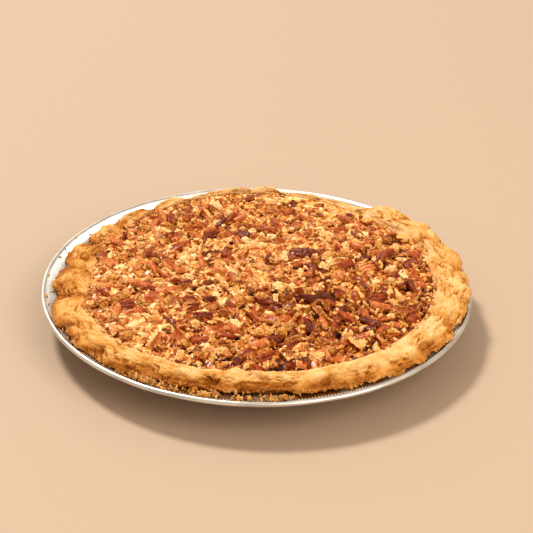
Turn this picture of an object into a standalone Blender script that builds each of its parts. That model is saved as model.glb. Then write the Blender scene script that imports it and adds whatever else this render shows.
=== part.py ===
"""Pecan pie in its shallow foil tin.

Three pieces, all about the tin's own axis: the tin, the pastry case with its
pinched rim, and the set filling with the chopped pecans that cover its top.
The origin is the middle of the tin's foot, where it stands, and +Z is up.
"""
import math
import random

import bmesh
import bpy
from mathutils import Euler, Matrix, Vector

MM = 0.001

# Driving sizes, in millimetres
TIN_RADIUS = 122.0          # outside of the rolled bead
TIN_RIM_HEIGHT = 20.5       # middle of the bead above the table
TIN_BASE_RADIUS = 88.0
TIN_THICKNESS = 0.6
BEAD_RADIUS = 1.5
CASE_RADIUS = 117.6         # outermost line of the plain profile, before the rim is shaped
CREST_RADIUS = 107.6        # its crest
CASE_CREST = 29.4           # the crest above the table
CASE_LIP = 24.7             # its outer edge above the table
FILLING_RADIUS = 97.0       # line where the plain profile meets the filling
FILLING_EDGE = 24.7         # its height there
FILLING_DOME = 2.6          # rise of the filling from that line to the middle
FILLING_CLIMB = 0.18        # rise of its edge for each millimetre that it spreads further out
PASTRY_THICKNESS = 4.0
CREASE_DROP = 1.7           # how much lower the crest is in a crease than beside it
CREST_WAVE = 0.4            # slow rise and fall of the crest
GAP = 0.3                   # clearance between touching pieces

# Finger pinches round the rim; angles in degrees
CRIMPS = 23
FIRST_CREASE = 6.8
BUNCHING = 3.0              # the pinches stand closer on one side, by up to this angle
BUNCHING_AT = 130.0
CREASE_LEAN = -0.28         # a millimetre outwards, as the creases run aslant
HOLLOW_WIDTH = 2.6          # half width of a finger hollow
HOLLOW_PLACE = 0.84         # its middle, as a share of the rim's width
HOLLOW_REACH = 0.13         # its half height, as such a share

# How the hand-made rim changes on its way round: angle in degrees, then in millimetres
# the outer reach, crest height, filling's edge, lip height, depth of the outer creases,
# height of the inner ridges between thumb pockets, depth of the finger hollows
RIM_SHAPES = (
    (0, 120.8, 28.8, 99.8, 24.4, 3.2, 0.3, 0.6),
    (20, 121.6, 29.8, 101.0, 24.6, 4.0, 0.2, 0.0),
    (34, 121.4, 31.0, 100.5, 24.8, 4.4, 0.4, 0.0),
    (47, 118.5, 31.0, 100.5, 24.8, 4.6, 0.8, 0.0),
    (59, 109.8, 27.0, 102.0, 24.0, 3.2, 1.0, 0.0),
    (72, 109.8, 27.8, 104.0, 24.0, 2.6, 0.5, 0.0),
    (80, 109.0, 27.2, 104.8, 24.0, 2.0, 0.4, 0.0),
    (86, 110.6, 29.6, 105.2, 24.8, 1.2, 0.2, 0.0),
    (92, 109.4, 28.4, 105.0, 24.4, 1.2, 0.2, 0.0),
    (97, 110.2, 29.2, 104.8, 24.4, 1.6, 0.3, 0.0),
    (107, 108.8, 27.6, 104.4, 24.0, 2.2, 0.4, 0.0),
    (116, 109.4, 28.2, 102.5, 24.0, 3.0, 0.8, 0.0),
    (130, 109.0, 27.4, 100.5, 23.8, 3.2, 1.4, 0.0),
    (150, 109.8, 27.4, 95.8, 24.0, 3.8, 2.6, 0.0),
    (170, 112.6, 27.4, 93.4, 23.8, 3.8, 3.0, 0.0),
    (186, 115.2, 27.4, 94.4, 23.4, 3.2, 2.8, 0.0),
    (203, 119.0, 27.8, 100.0, 23.2, 2.6, 2.0, 0.6),
    (225, 118.8, 28.4, 101.5, 23.2, 1.5, 0.8, 1.8),
    (248, 115.5, 29.2, 98.8, 23.2, 0.9, 0.0, 2.4),
    (268, 112.6, 29.6, 98.0, 23.2, 0.7, 0.0, 2.4),
    (290, 116.0, 29.4, 98.0, 23.2, 0.9, 0.0, 2.6),
    (312, 118.8, 28.6, 99.0, 23.2, 1.1, 0.0, 2.4),
    (336, 119.2, 28.4, 100.0, 23.2, 1.6, 0.2, 2.0),
)

# Steps round the axis
TIN_STEPS = 72
CASE_STEPS = CRIMPS * 5
FILLING_STEPS = 60

# Whole and half kernels that lie on top: x, y, length in mm and heading in degrees
LARGE_KERNELS = (
    (74, 24, 19, 62), (52, 70, 17, -58), (27, -26, 16, -3), (6, -34, 18, -27),
    (6, -85, 15, 42), (62, -48, 16, -44), (47, -38, 12, 75), (-28, 44, 15, 58),
    (-16, 68, 14, 72), (27, 24, 19, -16), (-44, 33, 14, 34), (-42, -16, 15, 48),
    (-11, -12, 13, 8), (-59, 5, 15, -68), (-38, 55, 12, 15), (6, 53, 17, -31),
    (18, -73, 12, 20), (29, -55, 13, -75), (66, -24, 14, 28), (-46, -53, 14, -40),
    (-30, -46, 15, -8), (0, -47, 13, -68), (88, -22, 14, 82), (-72, -36, 13, 12),
)
CHOPPED_PIECES = 140
NUT_MARGIN = 5.5            # middles of the pieces keep this far inside the filling's edge
KERNEL_ROOM = 6.5           # and this far from the middle of a large kernel
NUT_SEED = 41

# Colours, as linear RGB
FOIL_COLOR = (0.80, 0.80, 0.79)
PASTRY_COLOR = (0.62, 0.29, 0.075)
FILLING_COLOR = (0.36, 0.12, 0.035)


def clear_scene():
    for obj in list(bpy.data.objects):
        bpy.data.objects.remove(obj, do_unlink=True)


def new_collection(name):
    collection = bpy.data.collections.new(name)
    bpy.context.scene.collection.children.link(collection)
    return collection


def make_material(name, color, roughness, metallic):
    material = bpy.data.materials.new(name)
    material.use_nodes = True
    shader = material.node_tree.nodes["Principled BSDF"]
    shader.inputs["Base Color"].default_value = (*color, 1.0)
    shader.inputs["Roughness"].default_value = roughness
    shader.inputs["Metallic"].default_value = metallic
    return material


def new_object(name, mesh, collection, material):
    obj = bpy.data.objects.new(name, mesh)
    collection.objects.link(obj)
    obj.data.materials.append(material)
    return obj


def turned(name, profile, steps, collection, material):
    """Turn a profile of (radius, height) pairs in millimetres about the Z axis."""
    points = [(radius * MM, 0.0, height * MM) for radius, height in profile]
    edges = [(i, i + 1) for i in range(len(points) - 1)]
    mesh = bpy.data.meshes.new(name)
    mesh.from_pydata(points, edges, [])
    obj = new_object(name, mesh, collection, material)
    screw = obj.modifiers.new("Turn", "SCREW")
    screw.axis = "Z"
    screw.angle = 2.0 * math.pi
    screw.steps = steps
    screw.render_steps = steps
    screw.use_merge_vertices = True
    screw.merge_threshold = 0.00001
    return obj


def bake(obj):
    """Replace an object's mesh by the one its modifiers give."""
    depsgraph = bpy.context.evaluated_depsgraph_get()
    mesh = bpy.data.meshes.new_from_object(obj.evaluated_get(depsgraph))
    obj.modifiers.clear()
    obj.data = mesh


def smoothstep(low, high, value):
    t = min(max((value - low) / (high - low), 0.0), 1.0)
    return t * t * (3.0 - 2.0 * t)


# Tin
def tin_profile():
    """Inner side from the middle outwards, round the bead, and back underneath."""
    foot = TIN_THICKNESS
    panel_radius = TIN_BASE_RADIUS - 10.0
    panel_rise = 1.0
    wall_top = TIN_RADIUS - 11.0
    flange_low = TIN_RIM_HEIGHT - 0.3
    bead_middle = TIN_RADIUS - BEAD_RADIUS
    inner = [
        (0.0, panel_rise + foot),
        (panel_radius, panel_rise + foot),
        (panel_radius + 2.0, foot),
        (TIN_BASE_RADIUS - 1.0, foot),
        (TIN_BASE_RADIUS + 0.4, foot + 0.6),
        (wall_top - 0.3, flange_low),
        (wall_top + 1.3, flange_low + foot),
    ]
    bead = []
    for angle in (135, 90, 40, -10, -60, -110, -160):
        turn = math.radians(angle)
        bead.append((bead_middle + BEAD_RADIUS * math.cos(turn),
                     TIN_RIM_HEIGHT + BEAD_RADIUS * math.sin(turn)))
    outer = [
        (wall_top + 1.6, flange_low - 0.1),
        (wall_top + 0.2, flange_low - 0.8),
        (TIN_BASE_RADIUS + 1.0, 0.7),
        (TIN_BASE_RADIUS - 0.4, 0.0),
        (panel_radius + 1.6, 0.0),
        (panel_radius - 0.4, panel_rise),
        (0.0, panel_rise),
    ]
    return inner + bead + outer


# Pastry case
def rim_at(angle):
    """The seven sizes of RIM_SHAPES at any angle in radians, eased from row to row."""
    degrees = math.degrees(angle) % 360.0
    rows = RIM_SHAPES + ((360.0,) + RIM_SHAPES[0][1:],)
    for near, far in zip(rows, rows[1:]):
        if degrees <= far[0]:
            share = smoothstep(near[0], far[0], degrees)
            return [a + (b - a) * share for a, b in zip(near[1:], far[1:])]
    return list(rows[0][1:])


def climb_at(edge):
    """How far a filling that spreads wide rides up the rim."""
    return FILLING_CLIMB * max(edge - FILLING_RADIUS, 0.0)


def crimp_table():
    """Strength and small turn of every pinch."""
    rng = random.Random(17)
    return [(rng.uniform(0.85, 1.2), math.radians(rng.uniform(-0.8, 0.8)))
            for _ in range(CRIMPS)]


def case_profile():
    """Inner side from the middle to the rim, over its crest, and back underneath."""
    floor = 1.0 + TIN_THICKNESS + GAP
    wall_foot = TIN_BASE_RADIUS + 0.2
    wall_top = TIN_RADIUS - 11.9
    return [
        (0.0, floor + PASTRY_THICKNESS),
        (FILLING_RADIUS - 13.5, floor + PASTRY_THICKNESS),
        (FILLING_RADIUS - 10.5, floor + PASTRY_THICKNESS + 1.1),
        (FILLING_RADIUS + 1.2, FILLING_EDGE - 4.7),
        (FILLING_RADIUS, FILLING_EDGE),
        (FILLING_RADIUS + 2.6, FILLING_EDGE + 1.6),
        (FILLING_RADIUS + 6.3, CASE_CREST - 1.1),
        (CREST_RADIUS, CASE_CREST),
        (CASE_RADIUS - 5.4, CASE_CREST - 0.7),
        (CASE_RADIUS - 1.8, CASE_CREST - 2.6),
        (CASE_RADIUS, CASE_LIP),
        (CASE_RADIUS - 1.0, CASE_LIP - 1.4),
        (CASE_RADIUS - 4.0, CASE_LIP - 2.5),
        (wall_top + 1.4, TIN_RIM_HEIGHT + 0.75),
        (wall_top, TIN_RIM_HEIGHT - 0.2),
        (wall_foot, floor + 0.4),
        (wall_foot - 2.2, floor),
        (0.0, floor),
    ]


def creased(phase):
    """1 in the crease between two pinches and 0 on the swelling between creases."""
    return 1.0 - abs(math.sin(math.pi * phase)) ** 0.7


def rim_point(radius, height, angle, phase, strength):
    """Where a point of the plain profile's free rim lies in the hand-made one."""
    reach, crest, edge, lip, crease, ridge, hollow = rim_at(angle)
    share = min(max((radius - FILLING_RADIUS) / (CASE_RADIUS - FILLING_RADIUS), 0.0), 1.0)

    # Which part of the rim this is: its upper surface, the raised middle of that,
    # the outer side, the inner side, and the slope that runs down to the filling
    above = smoothstep(CASE_LIP - 0.7, CASE_LIP + 1.3, height)
    raised = smoothstep(0.0, 0.35, share) * (1.0 - smoothstep(0.75, 1.0, share)) * above
    outer = smoothstep(0.35, 0.75, share)
    inner = smoothstep(0.0, 0.35, share) * (1.0 - outer)
    slope = smoothstep(0.0, 0.15, share) * (1.0 - smoothstep(0.3, 0.6, share))

    # Overall form, then the creases and the ridges that end them
    pressed = creased(phase) * strength
    new_radius = edge + share * (reach - edge)
    new_radius -= pressed * (crease * outer + (0.5 * crease + 0.7 * ridge) * inner)
    new_height = height + (crest - CASE_CREST) * raised
    new_height += (lip - CASE_LIP) * smoothstep(0.7, 1.0, share)
    new_height += climb_at(edge) * (1.0 - smoothstep(0.0, 0.5, share))
    new_height -= pressed * CREASE_DROP * raised * (0.3 + 0.7 * outer)
    new_height += ridge * slope * (pressed - 0.5)
    new_height += CREST_WAVE * math.sin(5.0 * angle) * raised

    # Finger hollows in the outer face, at the creases
    away = min(phase, 1.0 - phase) * 360.0 / CRIMPS
    face = math.exp(-(away / HOLLOW_WIDTH) ** 2)
    face *= math.exp(-((share - HOLLOW_PLACE) / HOLLOW_REACH) ** 2)
    face *= above * strength
    new_radius -= 0.8 * hollow * face
    new_height -= 0.5 * hollow * face
    return max(new_radius, edge), new_height


def shape_rim(obj):
    """Give the turned case its hand-made rim."""
    table = crimp_table()
    for vertex in obj.data.vertices:
        x, y, height = (value / MM for value in vertex.co)
        radius = math.hypot(x, y)
        if radius < 1.0:
            continue
        turn = math.atan2(y, x) % (2.0 * math.pi)
        position = turn / (2.0 * math.pi) * CRIMPS
        index = int(position + 0.001) % CRIMPS
        phase = position - int(position + 0.001)
        strength = table[index][0] * (1.0 - phase) + table[(index + 1) % CRIMPS][0] * phase
        drift = table[index][1] * (1.0 - phase) + table[(index + 1) % CRIMPS][1] * phase

        # How far this point belongs to the free rim
        rim = smoothstep(TIN_RIM_HEIGHT - 0.2, TIN_RIM_HEIGHT + 2.8, height)
        angle = turn + math.radians(FIRST_CREASE) + drift
        angle -= math.radians(BUNCHING) * math.cos(turn - math.radians(BUNCHING_AT))
        angle += rim * math.radians(CREASE_LEAN) * (radius - CREST_RADIUS)
        new_radius, new_height = rim_point(radius, height, angle, phase, strength)
        radius += rim * (new_radius - radius)
        height += rim * (new_height - height)
        vertex.co = (radius * math.cos(angle) * MM, radius * math.sin(angle) * MM, height * MM)


# Filling
def edge_at(x, y):
    """Radius of the filling's edge in the direction of a point."""
    return rim_at(math.atan2(y, x))[2]


def wall_at(x, y, height):
    """Radius of the pastry's inner wall beside a point of the filling."""
    edge = edge_at(x, y)
    foot_radius = FILLING_RADIUS + 1.2
    foot = FILLING_EDGE - 4.7
    top = FILLING_EDGE + climb_at(edge)
    share = min(max((height - foot) / (top - foot), 0.0), 1.0)
    return foot_radius + (edge - foot_radius) * share


def filling_height(x, y):
    """Height of the custard's top at a point, before the nuts."""
    edge = edge_at(x, y)
    share = (x * x + y * y) / edge ** 2
    return FILLING_EDGE - 0.1 + FILLING_DOME * (1.0 - share) + climb_at(edge) * share ** 3


def filling_profile():
    """The plain profile: its top lies level here and is shaped after turning."""
    floor = 1.0 + TIN_THICKNESS + PASTRY_THICKNESS + 2.0 * GAP
    return [
        (0.0, FILLING_EDGE),
        (0.41 * FILLING_RADIUS, FILLING_EDGE),
        (0.78 * FILLING_RADIUS, FILLING_EDGE),
        (FILLING_RADIUS, FILLING_EDGE),
        (FILLING_RADIUS + 1.2 - 2.0 * GAP, FILLING_EDGE - 4.7),
        (FILLING_RADIUS - 10.5 - GAP, floor + 1.1),
        (FILLING_RADIUS - 13.5 - GAP, floor),
        (0.0, floor),
    ]


def shape_filling(obj):
    """Spread the level top out to the rim's uneven inner edge and dome it."""
    for vertex in obj.data.vertices:
        x, y, height = (value / MM for value in vertex.co)
        if height < FILLING_EDGE - 1.0:
            continue
        spread = (edge_at(x, y) - 3.0 * GAP) / FILLING_RADIUS
        x *= spread
        y *= spread
        vertex.co = (x * MM, y * MM, filling_height(x, y) * MM)


def mesh_from(work, name):
    mesh = bpy.data.meshes.new(name)
    work.to_mesh(mesh)
    work.free()
    return mesh


def kernel_mesh(name, size, rng):
    """A half kernel lying along X: a long rounded lump with a groove down its back."""
    length, width, thickness = size
    work = bmesh.new()
    bmesh.ops.create_uvsphere(work, u_segments=6, v_segments=5, radius=0.5)
    for vertex in work.verts:
        up, side, along = vertex.co
        on_the_back = up > 0.0 and abs(side) < 0.05
        groove = 0.3 * up if on_the_back else 0.0
        vertex.co = Vector((along * length, -side * width, (up - groove) * thickness))
        vertex.co *= rng.uniform(0.92, 1.08)
    bmesh.ops.triangulate(work, faces=work.faces)
    return mesh_from(work, name)


def chip_mesh(name, size, rng):
    """A chopped piece lying along X: an uneven block, narrower at one end."""
    length, width, thickness = size
    work = bmesh.new()
    bmesh.ops.create_cube(work, size=1.0)
    for vertex in work.verts:
        along, side, up = vertex.co
        narrowing = 0.8 - 0.4 * along
        vertex.co = Vector((along * length, side * width * narrowing, up * thickness))
        vertex.co *= rng.uniform(0.8, 1.12)
    bmesh.ops.triangulate(work, faces=work.faces)
    return mesh_from(work, name)


def nut_places():
    """Every pecan piece: x, y, heading, its three sizes and whether it is a half kernel."""
    rng = random.Random(NUT_SEED)
    places = []
    for x, y, length, heading in LARGE_KERNELS:
        size = (length, 0.48 * length, 0.42 * length)
        places.append((x, y, math.radians(heading), size, True))
    golden_turn = math.pi * (3.0 - math.sqrt(5.0))
    for index in range(CHOPPED_PIECES):
        angle = golden_turn * index
        reach = rim_at(angle)[2] - NUT_MARGIN
        radius = reach * math.sqrt((index + 0.5) / CHOPPED_PIECES)
        x = radius * math.cos(angle) + rng.uniform(-2.0, 2.0)
        y = radius * math.sin(angle) + rng.uniform(-2.0, 2.0)
        length = rng.uniform(9.5, 14.0)
        size = (length, length * rng.uniform(0.55, 0.8), length * rng.uniform(0.34, 0.5))
        heading = rng.uniform(0.0, 2.0 * math.pi)
        if min(math.hypot(x - k[0], y - k[1]) for k in LARGE_KERNELS) > KERNEL_ROOM:
            places.append((x, y, heading, size, False))
    return places


def add_nuts(nuts, material):
    """Lay the pecan pieces on the filling, each sunk a third of its height."""
    rng = random.Random(NUT_SEED + 1)
    for number, (x, y, heading, size, is_half) in enumerate(nut_places()):
        make_mesh = kernel_mesh if is_half else chip_mesh
        mesh = make_mesh(f"nut_{number}", size, rng)
        tilt = Euler((rng.uniform(-0.35, 0.35), rng.uniform(-0.22, 0.22), heading))
        lift = filling_height(x, y) + 0.16 * size[2]
        place = Matrix.Translation(Vector((x, y, lift)))
        mesh.transform(place @ tilt.to_matrix().to_4x4())
        excess = max(math.hypot(v.co.x, v.co.y) - wall_at(*v.co)
                     for v in mesh.vertices) + 3.0 * GAP
        if excess > 0.0:
            inward = Vector((-x, -y, 0.0)).normalized() * excess
            mesh.transform(Matrix.Translation(inward))
        mesh.transform(Matrix.Scale(MM, 4))
        obj = new_object(f"nut_{number}", mesh, nuts, material)
        obj.hide_render = True
        obj.display_type = "WIRE"


def fuse_nuts(filling, nuts):
    """Join the pecan pieces to the filling and leave one closed body."""
    union = filling.modifiers.new("Nuts", "BOOLEAN")
    union.operation = "UNION"
    union.operand_type = "COLLECTION"
    union.collection = nuts
    union.solver = "EXACT"
    bake(filling)
    for obj in list(nuts.objects):
        bpy.data.objects.remove(obj, do_unlink=True)
    keep_largest_shell(filling)


def keep_largest_shell(obj):
    """Drop loose scraps and the walls of sealed hollows."""
    work = bmesh.new()
    work.from_mesh(obj.data)
    bmesh.ops.triangulate(work, faces=work.faces)
    unseen = set(work.verts)
    shells = []
    while unseen:
        stack = [unseen.pop()]
        shell = []
        while stack:
            vertex = stack.pop()
            shell.append(vertex)
            for edge in vertex.link_edges:
                other = edge.other_vert(vertex)
                if other in unseen:
                    unseen.remove(other)
                    stack.append(other)
        shells.append(shell)
    shells.sort(key=len)
    scraps = [vertex for shell in shells[:-1] for vertex in shell]
    bmesh.ops.delete(work, geom=scraps, context="VERTS")
    work.to_mesh(obj.data)
    work.free()


def shade_round(obj, degrees):
    obj.data.shade_smooth()
    obj.data.set_sharp_from_angle(angle=math.radians(degrees))


def build():
    clear_scene()
    parts = new_collection("pecan_pie")
    nuts = new_collection("pecan_pieces")
    foil = make_material("foil", FOIL_COLOR, 0.32, 1.0)
    pastry = make_material("baked_pastry", PASTRY_COLOR, 0.62, 0.0)
    topping = make_material("pecan_filling", FILLING_COLOR, 0.35, 0.0)

    tin = turned("tin", tin_profile(), TIN_STEPS, parts, foil)
    bake(tin)
    shade_round(tin, 35)

    case = turned("crust", case_profile(), CASE_STEPS, parts, pastry)
    bake(case)
    shape_rim(case)
    shade_round(case, 60)

    filling = turned("filling", filling_profile(), FILLING_STEPS, parts, topping)
    bake(filling)
    shape_filling(filling)
    add_nuts(nuts, topping)
    fuse_nuts(filling, nuts)
    bpy.data.collections.remove(nuts)


build()
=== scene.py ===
import math
import random

import bmesh
import bpy
import numpy as np
from mathutils import Euler, Matrix, Vector, noise


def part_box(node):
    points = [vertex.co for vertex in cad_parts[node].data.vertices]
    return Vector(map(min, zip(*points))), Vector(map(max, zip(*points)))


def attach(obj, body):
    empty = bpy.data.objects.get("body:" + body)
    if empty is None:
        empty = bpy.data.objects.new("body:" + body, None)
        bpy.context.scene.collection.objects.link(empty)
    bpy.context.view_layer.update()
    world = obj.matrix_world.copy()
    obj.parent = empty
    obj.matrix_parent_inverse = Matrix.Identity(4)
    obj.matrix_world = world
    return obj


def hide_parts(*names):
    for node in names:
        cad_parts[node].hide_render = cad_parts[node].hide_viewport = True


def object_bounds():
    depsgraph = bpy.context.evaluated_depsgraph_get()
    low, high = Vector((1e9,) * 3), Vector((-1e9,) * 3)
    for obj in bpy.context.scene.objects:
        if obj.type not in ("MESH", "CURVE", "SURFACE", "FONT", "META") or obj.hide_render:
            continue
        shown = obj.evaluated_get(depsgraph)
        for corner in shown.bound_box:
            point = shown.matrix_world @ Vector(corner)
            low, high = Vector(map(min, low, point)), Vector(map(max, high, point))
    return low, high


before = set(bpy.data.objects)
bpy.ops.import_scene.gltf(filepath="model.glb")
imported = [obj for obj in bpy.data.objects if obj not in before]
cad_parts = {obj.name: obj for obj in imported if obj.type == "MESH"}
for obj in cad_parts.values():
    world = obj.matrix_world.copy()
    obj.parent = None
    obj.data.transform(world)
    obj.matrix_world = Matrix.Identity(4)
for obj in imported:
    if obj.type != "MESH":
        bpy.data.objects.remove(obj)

# Pecan pie in a foil tin. Sizes below are in millimetres unless a note says otherwise.
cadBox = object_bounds()
mm = 0.001
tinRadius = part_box("tin")[1][0] / mm     # outside of the rolled edge
beadRadius = 1.5
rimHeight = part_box("tin")[1][2] / mm - beadRadius    # middle of the rolled edge
tinFoot = tinRadius - 34.0          # outside of the foot ring
wallTop = tinRadius - 11.0          # where the wall turns out into the flange
fillingRadius = tinRadius - 25.0    # where the custard meets the pastry
fillingEdge = rimHeight + 4.2       # the custard's height there
fillingDome = 2.6                   # how much higher its middle stands
pieTop = cadBox[1][2] / mm - 0.1
gap = 0.3                           # between custard and pastry, out of sight


# Small tools

def toLinear(hexColor):
    # sRGB hex such as 'E0A35C' to linear RGBA
    channels = [int(hexColor[i:i + 2], 16) / 255 for i in (0, 2, 4)]
    linear = [c / 12.92 if c <= 0.04045 else ((c + 0.055) / 1.055) ** 2.4 for c in channels]
    return (*linear, 1.0)


def perMetre(size):
    return 1000.0 / size     # a texture scale whose features measure this many mm


def newMaterial(name):
    material = bpy.data.materials.new(name)
    material.use_nodes = True
    shader = material.node_tree.nodes["Principled BSDF"]
    return material, material.node_tree, shader


def setInputs(tree, node, values):
    # values holds numbers, colours or the output sockets to link from
    for key, value in values.items():
        if isinstance(value, bpy.types.NodeSocket):
            tree.links.new(value, node.inputs[key])
        else:
            node.inputs[key].default_value = value


def addNode(tree, kind, settings=None, values=None, stops=()):
    # stops are a colour ramp's; a Mix node's two colours are inputs 6 and 7, its result output 2
    node = tree.nodes.new("ShaderNode" + kind)
    for key, value in (settings or {}).items():
        setattr(node, key, value)
    setInputs(tree, node, values or {})
    if stops:
        elements = node.color_ramp.elements
        while len(elements) < len(stops):
            elements.new(0.5)
        for element, (position, hexColor) in zip(elements, stops):
            element.position = position
            element.color = toLinear(hexColor)
    return node


def mottled(tree, value, grain, amount):
    # a value that a noise node's grain moves up and down by amount
    shift = addNode(tree, "MapRange", values={
        "Value": grain.outputs["Fac"], "From Min": 0.3, "From Max": 0.7,
        "To Min": -amount, "To Max": amount})
    moved = addNode(tree, "Math", {"operation": "ADD"}, {0: value, 1: shift.outputs["Result"]})
    return moved.outputs[0]


def smoothstep(low, high, value):
    t = np.clip((value - low) / (high - low), 0.0, 1.0)
    return t * t * (3.0 - 2.0 * t)


def fractalAt(points, size, octaves, shift):
    # fractal noise, about -1 to 1, whose largest features measure size mm
    offset = Vector((shift, shift * 1.7, shift * 2.3))
    values = [noise.fractal(Vector(point) / size + offset, 1.0, 2.0, octaves)
              for point in points.reshape(-1, 3)]
    return np.array(values).reshape(points.shape[:-1])


def anyAngle(rng):
    return rng.uniform(0, 2 * math.pi)


def roundAxis(radius, angle, height):
    # points from their distance to the pie's axis, angle and height
    return np.stack([radius * np.cos(angle), radius * np.sin(angle), height], axis=-1)


def meshFromArrays(name, points, faces, attributes, smoothAngle=0, faceSlots=None):
    mesh = bpy.data.meshes.new(name)
    mesh.from_pydata((np.asarray(points) * mm).tolist(), [], faces)
    mesh.update()
    for key, values in attributes.items():
        layer = mesh.attributes.new(key, "FLOAT", "POINT")
        layer.data.foreach_set("value", np.asarray(values, dtype=np.float32))
    if faceSlots is not None:
        mesh.polygons.foreach_set("material_index", np.asarray(faceSlots, dtype=np.int32))
    mesh.shade_smooth()
    if smoothAngle:
        mesh.set_sharp_from_angle(angle=math.radians(smoothAngle))
    return mesh


def addPiece(mesh, materials, replaced=None):
    piece = bpy.data.objects.new(mesh.name, mesh)
    bpy.context.scene.collection.objects.link(piece)
    for material in materials:
        mesh.materials.append(material)
    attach(piece, "root")
    if replaced:
        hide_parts(replaced)


def turnedMesh(name, grid, attributes):
    # a turned grid, rows x steps, whose first and last rows are single points
    rows, steps = grid.shape[:2]

    def at(row, step):
        return 1 + (row - 1) * steps + step % steps

    def listed(values):
        middle = values[1:-1].reshape(-1, *values.shape[2:])
        return np.concatenate([values[0, :1], middle, values[-1, :1]])

    last = 1 + (rows - 2) * steps
    faces = [(0, at(1, s), at(1, s + 1)) for s in range(steps)]
    for row in range(1, rows - 2):
        faces += [(at(row, s), at(row + 1, s), at(row + 1, s + 1), at(row, s + 1))
                  for s in range(steps)]
    faces += [(at(rows - 2, s), last, at(rows - 2, s + 1)) for s in range(steps)]
    attributes = {key: listed(values) for key, values in attributes.items()}
    return meshFromArrays(name, listed(grid), faces, attributes)


def sampleProfile(profile, spacing):
    # a smooth curve through (radius, height) pairs, with points as far apart as spacing says
    points = np.array(profile, dtype=float)
    before = np.vstack([2 * points[0] - points[1], points[:-1]])
    after = np.vstack([points[1:], 2 * points[-1] - points[-2]])
    slopes = (after - before) / np.linalg.norm(after - before, axis=1, keepdims=True)
    result = []
    for a, b, slopeA, slopeB in zip(points, points[1:], slopes, slopes[1:]):
        # slopes are scaled to each span, so that short spans don't overshoot
        length = np.linalg.norm(b - a)
        count = max(1, int(round(length / spacing(*(a + b) / 2))))
        for t in np.arange(count) / count:
            bend = (t**3 - 2 * t**2 + t) * slopeA + (t**3 - t**2) * slopeB
            share = 3 * t**2 - 2 * t**3
            result.append((1 - share) * a + share * b + bend * length)
    result = np.array(result + [points[-1]])
    result[0, 0] = result[-1, 0] = 0.0
    return result


def gridNormals(grid):
    down = np.gradient(grid, axis=0)
    along = np.roll(grid, -1, axis=1) - np.roll(grid, 1, axis=1)
    normal = np.cross(down, along)
    length = np.linalg.norm(normal, axis=2, keepdims=True)
    return normal / np.maximum(length, 1e-9)


# Camera, light and floor

view = {
    "distance": 1.0,          # metres, from the middle of the tin's rolled edge
    "elevation": 30.0,        # degrees
    "focalPixels": 1759.0,    # focal length on the photograph's 533 pixel frame
    "frame": 533.0,
    "rimMiddle": (256.9, 286.3),   # where the middle of the rolled edge is in the photograph
    "roll": 1.28,             # degrees
    "keyEnergy": 116.0,       # watts
    "backEnergy": 5.0,
    "fillEnergy": 17.0,
    "sky": "FFF2E2",
    "skyStrength": 0.54,
    "floor": "BBA692",
}


def makeCamera():
    data = bpy.data.cameras.new("photoCamera")
    data.sensor_width = 36.0
    data.lens = view["focalPixels"] / view["frame"] * data.sensor_width
    data.clip_start = 0.01
    camera = bpy.data.objects.new("photoCamera", data)
    bpy.context.scene.collection.objects.link(camera)
    rise = math.radians(view["elevation"])
    middle = Vector((0.0, 0.0, rimHeight * mm))
    offset = Vector((0.0, -math.cos(rise), math.sin(rise))) * view["distance"]
    camera.location = middle + offset
    right = Vector((1.0, 0.0, 0.0))
    up = Vector((0.0, math.sin(rise), math.cos(rise)))
    pixel = view["distance"] / view["focalPixels"]
    half = view["frame"] / 2
    aim = middle + right * (half - view["rimMiddle"][0]) * pixel
    aim += up * (view["rimMiddle"][1] - half) * pixel
    look = (aim - camera.location).to_track_quat("-Z", "Y").to_matrix()
    turn = Matrix.Rotation(math.radians(view["roll"]), 3, "Z")
    camera.rotation_euler = (look @ turn).to_euler()
    bpy.context.scene.camera = camera


def makeLight(name, place, size, energy, hexColor):
    data = bpy.data.lights.new(name, "AREA")
    data.shape = "DISK"
    data.size = size
    data.energy = energy
    data.color = toLinear(hexColor)[:3]
    light = bpy.data.objects.new(name, data)
    light.location = place
    light.rotation_euler = (-Vector(place)).to_track_quat("-Z", "Y").to_euler()
    bpy.context.scene.collection.objects.link(light)


def makeStage():
    scene = bpy.context.scene
    scene.view_settings.view_transform = "Standard"
    scene.view_settings.look = "Medium High Contrast"
    makeLight("windowLight", (-1.5, 1.7, 3.3), 0.8, view["keyEnergy"], "FFF8EE")
    makeLight("backPanel", (-0.5, 3.0, 1.7), 2.0, view["backEnergy"], "FFEEDC")
    makeLight("fillLight", (1.0, -1.1, 1.3), 1.6, view["fillEnergy"], "FFF0E0")
    world = bpy.data.worlds.new("studio")
    world.use_nodes = True
    setInputs(world.node_tree, world.node_tree.nodes["Background"], {
        "Color": toLinear(view["sky"]), "Strength": view["skyStrength"]})
    scene.world = world

    bpy.ops.mesh.primitive_plane_add(size=8.0)
    floor = bpy.context.object
    floor.name = "floor"
    # a table top sanded and oiled matt: pale, with only a wide soft shine
    material, tree, shader = newMaterial("paleMattTabletop")
    setInputs(tree, shader, {"Base Color": toLinear(view["floor"]), "Roughness": 0.7})
    floor.data.materials.append(material)


makeCamera()
makeStage()
print("camera, light and floor")


# Materials

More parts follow.
